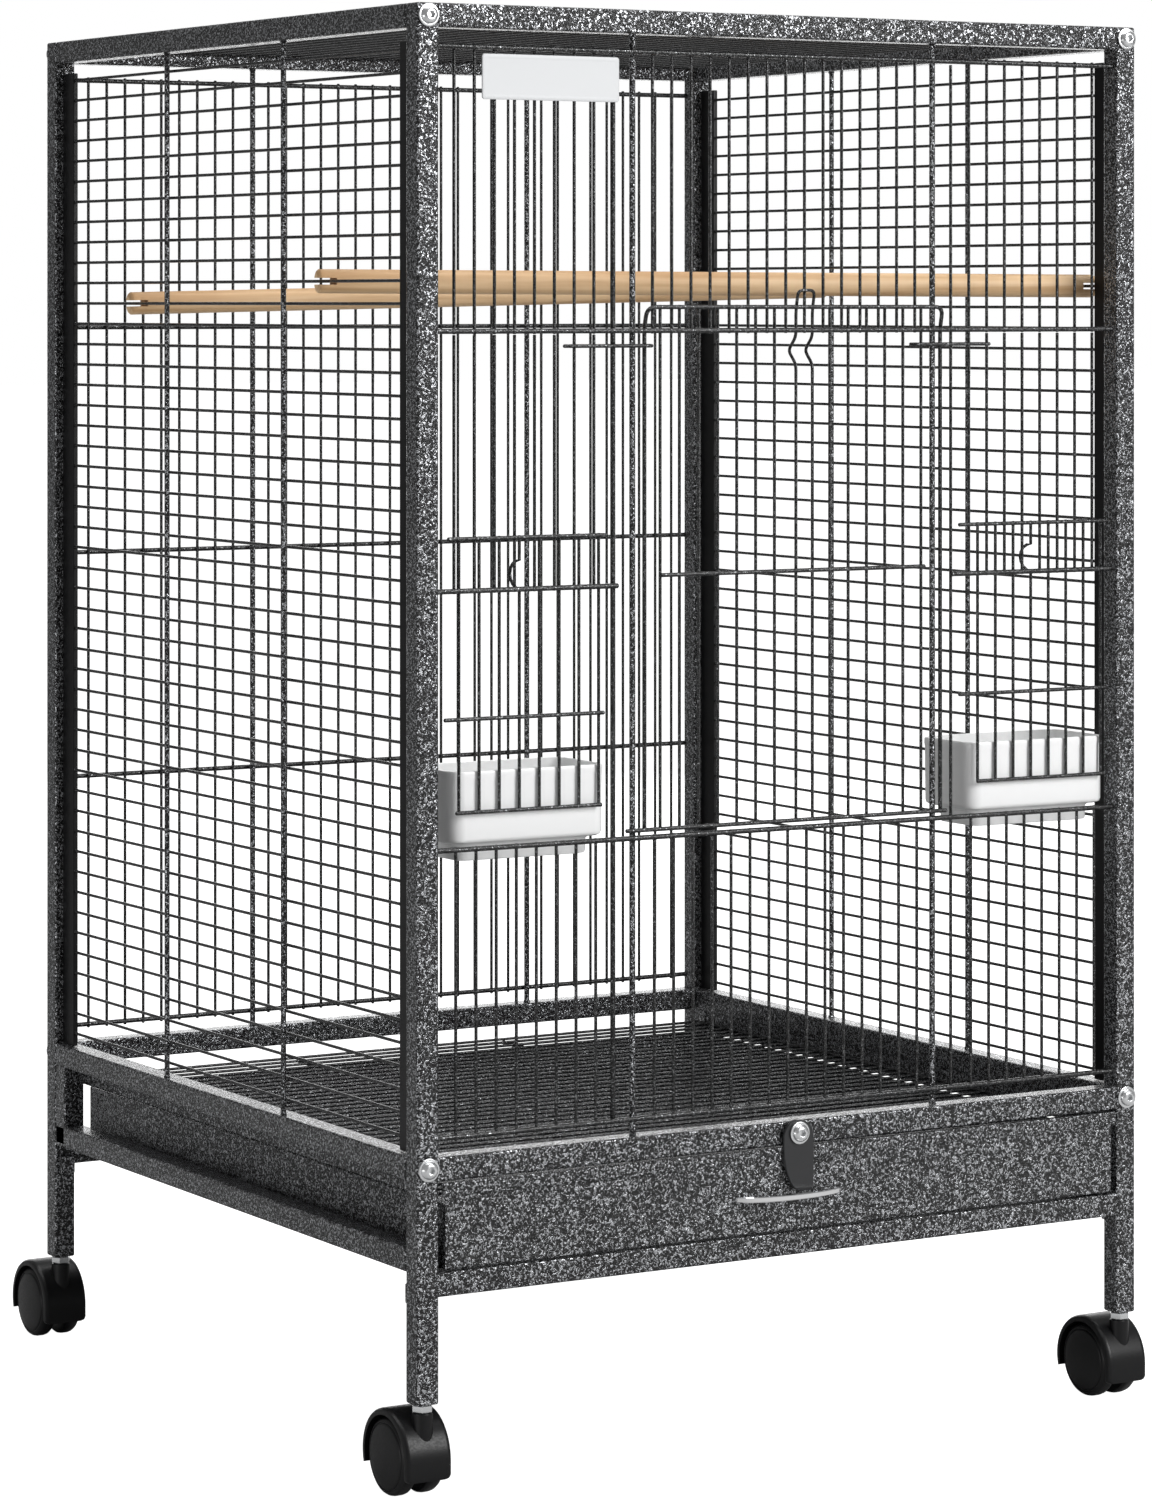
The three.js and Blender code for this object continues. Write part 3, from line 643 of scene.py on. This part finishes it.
def main_door():
    form = Form()
    shoulder = DOOR_TOP - 11
    corners = [
        (DOOR_LEFT, DOOR_BOTTOM - 1.2, 7),
        (DOOR_LEFT, shoulder, 7),
        (DOOR_LEFT, DOOR_TOP, DOOR_ROD_DEPTH),
        (DOOR_RIGHT, DOOR_TOP, DOOR_ROD_DEPTH),
        (DOOR_RIGHT, shoulder, 7),
        (DOOR_RIGHT, DOOR_BOTTOM - 1.2, 7),
    ]
    wire(form, bent([on_front(*c) for c in corners], 6), 1.15)
    rods = [((-80.4, 89.4), DOOR_MIDDLE, DOOR_ROD), ((-102.2, 103.9), DOOR_BOTTOM, DOOR_ROD)]
    door_rods(form, rods)
    wires = [-79.5 + k * PITCH for k in range(7)] + [28.5 + k * 12 for k in range(6)]
    for u in wires:
        wire_up(form, on_front, u, (DOOR_BOTTOM - 1.2, DOOR_TOP + 1.2), DOOR_WIRE_DEPTH)
        door_welds(form, u, (DOOR_TOP, DOOR_MIDDLE, DOOR_BOTTOM))
    for u in (DOOR_LEFT, DOOR_RIGHT):
        door_welds(form, u, (DOOR_BOTTOM,))
    latch_wires(form)
    for u in LATCH_WIRES:
        door_welds(form, u, (DOOR_TOP, DOOR_MIDDLE, DOOR_BOTTOM))
    fit(form, "main_door", "wire_coating")


def feeder_door(node, first_wire, top, middle, bottom):
    """Eight wires, the fourth with a round crook over the opening's rod."""
    form = Form()
    door_rods(form, [(top, 495, 1.1), (middle, 401.5, 1.1)])
    rod_across(form, on_front, bottom, 353, 5.2, 1.1)
    depth = DOOR_WIRE_DEPTH
    for k in range(8):
        u = first_wire + k * PITCH
        if k == 3:
            crook = [(u, 475.5 - 7.5 * math.cos(a), depth + 10 * math.sin(a)) for a in arc(math.pi, 8)]
            corners = [(u, 353, depth), *crook, (u, 496.1, depth)]
            wire(form, [on_front(*c) for c in corners], WIRE)
        else:
            wire_up(form, on_front, u, (353, 496.1), depth)
        door_welds(form, u, (495, 401.5))
    fit(form, node, "wire_coating")


def door_guide(node, closed_end, open_end):
    """A hairpin of wire laid level around the door's side wire."""
    form = Form()
    corners = [(open_end, 594.5, 4.1), (closed_end, 594.5, 4.1)]
    corners += [(closed_end, 594.5, 10.1), (open_end, 594.5, 10.1)]
    wire(form, bent([on_front(*c) for c in corners], 2.9), 1)
    fit(form, node, "wire_coating")


# ---- Fittings ----

BOLT_PROFILE = [
    (5.6, 0), (6, 0.2), (6, 0.8), (5.7, 1), (4.8, 1), (4.8, 1.4),
    (4.5, 2.2), (3.8, 3), (2.9, 3.5), (2.1, 3.6), (2, 3.5), (1.9, 1.6),
]


def screw_head(node, toward):
    """A domed button head with a hex socket, on a washer."""
    low, high = box_mm(node)
    middle = (low + high) / 2
    back = low.y if toward > 0 else high.y
    tilt = Matrix.Rotation(-toward * math.pi / 2, 4, "X")
    place = Matrix.Translation((middle.x, back, middle.z)) @ tilt
    form = Form()
    lathe(form, BOLT_PROFILE, 36, place, hexed=(10, 11))
    fit(form, node, "bright_zinc")


def name_plate():
    """A blank plate with softened corners and a shallow pressed field."""
    low, high = box_mm("name_plate")
    form = Form()
    steps = [(0.5, high.y), (0, high.y - 0.3), (0, low.y + 0.3), (0.35, low.y)]
    steps += [(2.2, low.y), (2.5, low.y + 0.18)]
    rings = []
    for inset, y in steps:
        across = grow((low.x, high.x), -inset)
        upright = grow((low.z, high.z), -inset)
        rings.append(rounded_ring(across, upright, 1.6, lambda u, v, y=y: (u, y, v)))
    form.loft(rings)
    fit(form, "name_plate", "plate_metal")


def perch(node, left, right):
    """A dowel between two side wires, with a level saw cut in each end; ends are (depth, height)."""
    start = Vector((LEFT_X + 3.2, FRONT_Y + left[0], left[1]))
    end = Vector((RIGHT_X - 3.2, FRONT_Y + right[0], right[1]))
    along = end - start
    half = along.length / 2
    turn = Matrix.Rotation(math.atan2(along.y, along.x), 4, "Z")
    tilt = Matrix.Rotation(-math.asin(along.z / along.length), 4, "Y")
    place = Matrix.Translation((start + end) / 2 * MM) @ turn @ tilt
    form = Form()
    inner = half - 9

    def round_ring(x, radius):
        angles = [math.tau * i / 28 for i in range(28)]
        return [Vector((x, radius * math.cos(a), radius * math.sin(a))) for a in angles]

    def lip_ring(x, radius, side):
        first = math.asin(1.8 / radius)
        angles = [first + (math.pi - 2 * first) * i / 14 for i in range(15)]
        return [Vector((x, radius * math.cos(a), side * radius * math.sin(a))) for a in angles]

    form.loft([round_ring(x, 6.5) for x in (-inner, -inner / 2, 0, inner / 2, inner)])
    for end_side in (-1, 1):
        for side in (-1, 1):
            stations = ((inner - 0.4, 6.5), (half - 0.8, 6.5), (half, 5.8))
            form.loft([lip_ring(end_side * x, radius, side) for x, radius in stations])
    fit(form, node, "perch_wood", place)


def feeding_cup(node, left):
    """A thin-walled drawn cup with a stepped base and a rolled rim."""
    form = Form()
    across = (left, left + 94)
    along = (FRONT_Y + 8, FRONT_Y + 58)
    steps = [
        (-9.5, 5, 326.5), (-7.6, 6, 326.9), (-7, 6.5, 327.8), (-6.8, 7, 334.4), (-5.4, 7.4, 336),
        (-2.2, 7.6, 336.3), (-0.9, 7.8, 337.2), (-0.4, 8, 338.8), (-0.25, 8, 369), (0, 8, 370.4),
        (0, 8, 373.2), (-0.5, 7.6, 373.9), (-1.2, 7, 374), (-1.8, 6.6, 373.6), (-1.9, 6.4, 371),
        (-2.2, 6.2, 339.6), (-2.8, 6, 338.4), (-7.6, 5.6, 337.6), (-8.6, 5.2, 335.8),
        (-8.9, 5, 329.4), (-10, 4, 328.4), (-16, 3, 328.3),
    ]
    rings = []
    for change, radius, z in steps:
        ring = rounded_ring(grow(across, change), grow(along, change), radius, lambda u, v, z=z: (u, v, z))
        rings.append(ring)
    form.loft(rings)
    fit(form, node, "cup_plastic")


def tray():
    """A folded sheet pan behind a flat panel, whose top edge is folded over into a lip."""
    form = Form()
    low, high = box_mm("tray")
    wall = 213
    span_y = (FRONT_Y + 0.6, high.y)
    steps = [(-1.4, 118.1), (-0.4, 118.4), (0, 119.4), (0, 151.6), (-0.3, 152), (-0.9, 152), (-1.2, 151.6)]
    steps += [(-1.2, 120.6), (-1.6, 119.6), (-2.6, 119.3)]
    rings = []
    for change, z in steps:
        ring = rounded_ring(
            grow((-wall, wall), change), grow(span_y, change), 2.5, lambda u, v, z=z: (u, v, z), 4
        )
        rings.append(ring)
    form.loft(rings)
    slab(form, (-213.5, 213.5), (FRONT_Y, FRONT_Y + 1.2), (118.8, 163.4), 0.5, 3)
    slab(form, (low.x, high.x), (low.y, FRONT_Y + 0.8), (156.5, high.z), 0.7, 3)
    fit(form, "tray", "frame_coating")


def tray_handle():
    """A flat chromed band bent into a shallow bow."""
    low, high = box_mm("tray_handle")
    middle = (low.x + high.x) / 2
    half = (high.x - low.x) / 2
    reach = high.y - low.y
    form = Form()
    rings = []
    for i in range(41):
        angle = math.pi + math.pi * i / 40
        outer = Vector((middle + half * math.cos(angle), high.y + reach * math.sin(angle), 0))
        inner = Vector((middle + (half - 3) * math.cos(angle), high.y + (reach - 3) * math.sin(angle), 0))
        inward = (inner - outer).normalized()
        ring = []
        for share, edge in ((0, 0.45), (0.45, 0), (2.55, 0), (3, 0.45)):
            ring.append(outer + inward * share + Vector((0, 0, high.z - edge)))
        for share, edge in ((3, 0.45), (2.55, 0), (0.45, 0), (0, 0.45)):
            ring.append(outer + inward * share + Vector((0, 0, low.z + edge)))
        rings.append(ring)
    form.loft(rings)
    fit(form, "tray_handle", "handle_chrome")


def tray_latch():
    """A flat tongue with one swept side, on a round hub."""
    low, high = box_mm("tray_latch")
    middle = (low.x + high.x) / 2
    half = (high.x - low.x) / 2
    form = Form()
    rings = []
    stations = 44
    for i in range(stations + 1):
        turn = i / stations
        z = low.z + (high.z - low.z) * (1 - math.cos(math.pi * turn)) / 2
        sweep = max(0, (low.z + 24 - z) / 24)
        corner = max(0, (low.z + 3 - z) / 3)
        dome = max(0, (z - high.z + 9) / 9)
        width = half * math.sqrt(max(0.004, 1 - dome**2))
        left = -width + 11 * (1 - math.sqrt(1 - sweep**2))
        right = width - 2 * (1 - math.sqrt(1 - corner**2))
        front = low.y
        back = low.y + 1.5
        edge = min(0.35, width / 3)
        outline = [(left, back), (left, front + edge), (left + edge, front)]
        outline += [(right - edge, front), (right, front + edge), (right, back)]
        rings.append([Vector((middle + u, y, z)) for u, y in outline])
    form.loft(rings)
    hub = Matrix.Translation((middle, high.y, 171)) @ Matrix.Rotation(math.pi / 2, 4, "X")
    lathe(form, [(6.9, 0), (6.9, 2)], 36, hub)
    fit(form, "tray_latch", "latch_coating")


def floor_grate():
    """Wires across between two end rods, laid on two more that run from front to back."""
    form = Form()
    first = FRONT_Y + 16
    last = first + 36 * 11.75
    for x, z, radius in ((-214.4, 157.3, 1.1), (214.4, 157.3, 1.1), (-71.8, 155, 1.1), (71.8, 155, 1.1)):
        wire(form, [(x, first - 1, z), (x, last + 1, z)], radius)
    for k in range(37):
        y = first + 11.75 * k
        wire(form, [(-214.5, y, 157.3), (214.5, y, 157.3)], WIRE)
        for x in (-71.8, 71.8):
            bead(form, (x, y, 156.3), 0.95)
        for x in (-214.4, 214.4):
            bead(form, (x, y, 157.3), 1.05)
    fit(form, "floor_grate", "wire_coating")


# ---- Casters, measured from the stem's axis, with the axle behind it ----

TRAIL, AXLE = 17, 20.3
HOOD_RADIUS, HOOD_INNER, HOOD_HALF = 25, 21.5, 13.3


def hood_shell(form, x, y):
    """A fender over both wheels with rolled shoulders, straight down to its front edge."""
    section = [
        (-HOOD_HALF, HOOD_INNER), (-HOOD_HALF, 23), (-12.9, 24.2), (-11.9, 24.8), (-10.6, HOOD_RADIUS),
        (10.6, HOOD_RADIUS), (11.9, 24.8), (12.9, 24.2), (HOOD_HALF, 23), (HOOD_HALF, HOOD_INNER),
    ]
    rings = []
    first = math.radians(-17)
    for i in range(31):
        angle = first + (math.pi - first) * i / 30
        direction = Vector((0, math.cos(angle), math.sin(angle)))
        centre = Vector((x, y + TRAIL, AXLE))
        rings.append([centre + Vector((across, 0, 0)) + direction * reach for across, reach in section])
    for z, tuck in ((16, 0), (13.4, 0), (12.2, 0.4), (11.4, 1.1), (11, 2.2)):
        narrow = 1 - tuck / HOOD_HALF
        rings.append([Vector((x + a * narrow, y + TRAIL - r + tuck / 5, z)) for a, r in section])
    form.loft(rings)


def hood_web(form, x, y):
    """The plate between the wheels that holds the axle."""
    outline = [(TRAIL + 23 * math.cos(math.pi * i / 20), AXLE + 23 * math.sin(math.pi * i / 20)) for i in range(21)]
    outline += [(TRAIL - 23, 12.5), (TRAIL - 21, 12), (TRAIL + 8, 12), (TRAIL + 12, 13)]
    rings = []
    for across in (-3.2, 3.2):
        rings.append([Vector((x + across, y + u, v)) for u, v in outline])
    form.loft(rings)


def caster(name, x, y):
    hood = Form()
    hood_shell(hood, x, y)
    hood_web(hood, x, y)
    at_stem = Matrix.Translation((x, y, 0))
    lathe(hood, [(5.5, 24), (5.5, 44.5), (5.2, 45.1), (4.6, 45.3), (3.9, 45.3), (3.8, 38.5)], 28, at_stem)
    fit(hood, f"{name}_hood", "caster_plastic")
    stem = Form()
    lathe(stem, [(3.2, 38.8), (3.5, 39.2), (3.5, 45.6)], 24, at_stem)
    profile = [(4.6, 45.6), (5.5, 45.9), (5.77, 46.4), (5.77, 49), (5.4, 49.4)]
    lathe(stem, profile, 36, at_stem, hexed=(1, 2, 3, 4))
    fit(stem, f"{name}_stem", "bright_zinc")
    axle = Form()
    across = Matrix.Translation((x, y + TRAIL, AXLE)) @ Matrix.Rotation(math.pi / 2, 4, "Y")
    lathe(axle, [(2.1, -12.4), (2.5, -12), (2.5, 12), (2.1, 12.4)], 20, across)
    fit(axle, f"{name}_axle", "bright_zinc")
    for side, turn in (("right", math.pi / 2), ("left", -math.pi / 2)):
        wheel(f"{name}_{side}_wheel", x, y, turn)


WHEEL_PROFILE = [
    (2.8, 12.8), (2.8, 3.5), (17.6, 3.5), (19.2, 3.8), (20, 4.8), (20.3, 6.2), (20.3, 9.2), (20, 10.6),
    (19.3, 11.7), (18.3, 12.3), (17.8, 12.4), (17.5, 12), (17.1, 12), (16.8, 12.5), (16.2, 12.9),
    (12, 13.5), (6, 13.9), (1.5, 14), (0, 14),
]


def wheel(node, x, y, turn):
    """A twin caster's wheel: rounded tread, a step at the rim, and a slightly domed disc."""
    form = Form()
    place = Matrix.Translation((x, y + TRAIL, AXLE)) @ Matrix.Rotation(turn, 4, "Y")
    lathe(form, WHEEL_PROFILE, 64, place)
    fit(form, node, "caster_plastic")


# ---- Assembly ----


def build_frame():
    end_frame("front_frame", on_front, 1)
    end_frame("rear_frame", on_back, -1)
    side_frame("left_side_frame", on_left, 1)
    side_frame("right_side_frame", on_right, -1)


def build_panels():
    side_panel("left_panel", on_left, 748.8)
    side_panel("right_panel", on_right, 746.7)
    back_panel()
    roof_panel()
    front_grilles()
    front_column("front_left_column", -1)
    front_column("front_right_column", 1)
    divider_rod("left_divider_rod", -1, 1.4)
    divider_rod("right_divider_rod", 1, 0.9)


def build_doors():
    main_door()
    feeder_door("left_feeder_door", -201.9, (-210, -114), (-212, -115.6), (-204.5, -116.5))
    feeder_door("right_feeder_door", 126.5, (112, 213), (112, 213), (125, 212))
    door_guide("left_door_guide", -85.2, -137)
    door_guide("right_door_guide", 82.8, 133)


def build_fittings():
    for end, toward in (("front", -1), ("rear", 1)):
        for side in ("left", "right"):
            for level in ("upper", "lower"):
                screw_head(f"{end}_{side}_{level}_bolt", toward)
    screw_head("latch_bolt", -1)
    name_plate()
    perch("near_perch", (117.3, 628.8), (35.2, 626.7))
    perch("far_perch", (351.5, 616.8), (311, 626.7))
    feeding_cup("left_cup", -205)
    feeding_cup("right_cup", 122.5)
    tray()
    tray_handle()
    tray_latch()
    floor_grate()


def build_casters():
    for end in ("front", "rear"):
        for side in ("left", "right"):
            low, high = box_mm(f"{end}_{side}_stem")
            caster(f"{end}_{side}", (low.x + high.x) / 2, (low.y + high.y) / 2)


build_frame()
build_panels()
build_doors()
build_fittings()
build_casters()


# ---- Stage, light and camera ----


def floor():
    """A wide pale floor."""
    mesh = bpy.data.meshes.new("floor")
    reach = 30
    corners = [(-reach, -reach, 0), (reach, -reach, 0), (reach, reach, 0), (-reach, reach, 0)]
    mesh.from_pydata(corners, [], [(0, 1, 2, 3)])
    ground = bpy.data.objects.new("floor", mesh)
    bpy.context.scene.collection.objects.link(ground)
    material, surface = finish("pale floor", (0.5, 0.5, 0.5), 0.9)
    surface.inputs["Specular IOR Level"].default_value = 0
    surface.inputs["Emission Color"].default_value = (1, 1, 1, 1)
    path = material.node_tree.nodes.new("ShaderNodeLightPath")
    seen = path.outputs["Is Camera Ray"]
    material.node_tree.links.new(seen, surface.inputs["Emission Strength"])
    mesh.materials.append(material)


def studio_light(name, place, aim, size, power):
    """A large soft box turned to face a point."""
    lamp = bpy.data.lights.new(name, "AREA")
    lamp.shape = "RECTANGLE"
    lamp.size, lamp.size_y = size
    lamp.energy = power
    holder = bpy.data.objects.new(name, lamp)
    bpy.context.scene.collection.objects.link(holder)
    holder.location = place
    holder.rotation_euler = (Vector(aim) - Vector(place)).to_track_quat("-Z", "Y").to_euler()
    holder.visible_camera = False


def white_room(fill):
    """An even surround that looks white and lights the cage with a softer fill."""
    world = bpy.data.worlds.new("white room")
    world.use_nodes = True
    tree = world.node_tree
    surround = tree.nodes["Background"]
    surround.inputs["Color"].default_value = (1, 1, 1, 1)
    path = tree.nodes.new("ShaderNodeLightPath")
    strength = tree.nodes.new("ShaderNodeMapRange")
    strength.inputs["To Min"].default_value = fill
    tree.links.new(path.outputs["Is Camera Ray"], strength.inputs["Value"])
    tree.links.new(strength.outputs["Result"], surround.inputs["Strength"])
    bpy.context.scene.world = world


def camera():
    lens = bpy.data.cameras.new("camera")
    lens.lens = 115.26
    lens.sensor_width = 36
    lens.shift_y = -0.2992
    holder = bpy.data.objects.new("camera", lens)
    bpy.context.scene.collection.objects.link(holder)
    holder.location = (-1.41596, -2.407215, 0.6181)
    holder.rotation_euler = (math.radians(90), 0, math.radians(-30.602))
    bpy.context.scene.camera = holder


floor()
white_room(0.24)
studio_light("overhead box", (0.2, 0.1, 2.6), (0, 0, 0.5), (2.2, 2.2), 48)
studio_light("front box", (1.1, -2.5, 1.55), (0, 0, 0.5), (1.3, 1.6), 62)
studio_light("rear box", (1.7, 3.0, 0.75), (0, 0, 0.5), (3.2, 1.2), 26)
studio_light("low left box", (-2.4, -0.6, 0.12), (0, 0, 0.1), (1.6, 0.35), 9)
camera()
bpy.context.scene.view_settings.view_transform = "Standard"
